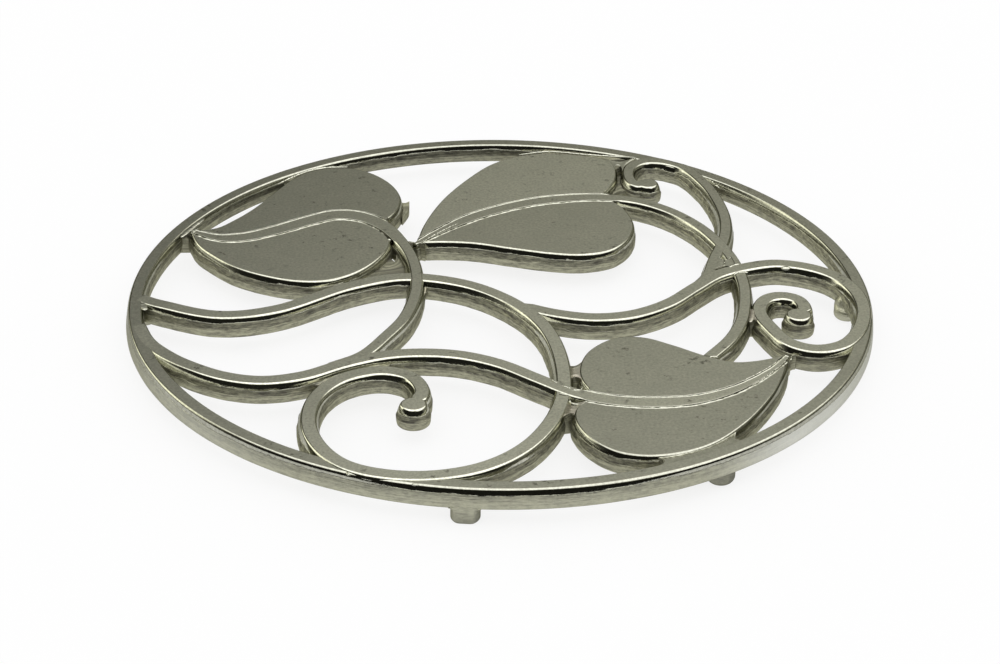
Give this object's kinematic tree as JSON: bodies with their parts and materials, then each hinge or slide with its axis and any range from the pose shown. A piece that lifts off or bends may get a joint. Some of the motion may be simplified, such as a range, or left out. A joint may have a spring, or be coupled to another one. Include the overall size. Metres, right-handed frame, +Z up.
{
  "type": "trivet",
  "caption": "Round openwork metal trivet: a flat rim filled with curling vine scrolls and split leaves, standing on short stub feet",
  "frame": {"origin": "middle of the rim, on the table plane that the feet stand on", "axes": "+Z up, +X to the right of the picture, +Y away from the camera of the picture"},
  "size_m": [0.1812, 0.1812, 0.0087],
  "materials": {
    "metal": "polished casting with satin tops, bright edges and textured walls"
  },
  "bodies": {
    "root": {"rim": "metal", "scroll_vine": "metal", "branch_vine": "metal", "tendril": "metal", "leaf_a_stem": "metal", "leaf_b_stem": "metal", "leaf_c_stem": "metal", "leaf_a_upper_blade": "metal", "leaf_a_lower_blade": "metal", "leaf_b_upper_blade": "metal", "leaf_b_lower_blade": "metal", "leaf_c_upper_blade": "metal", "leaf_c_lower_blade": "metal", "foot_1": "metal", "foot_2": "metal", "foot_3": "metal", "foot_4": "metal", "foot_5": "metal"}
  },
  "joints": []
}
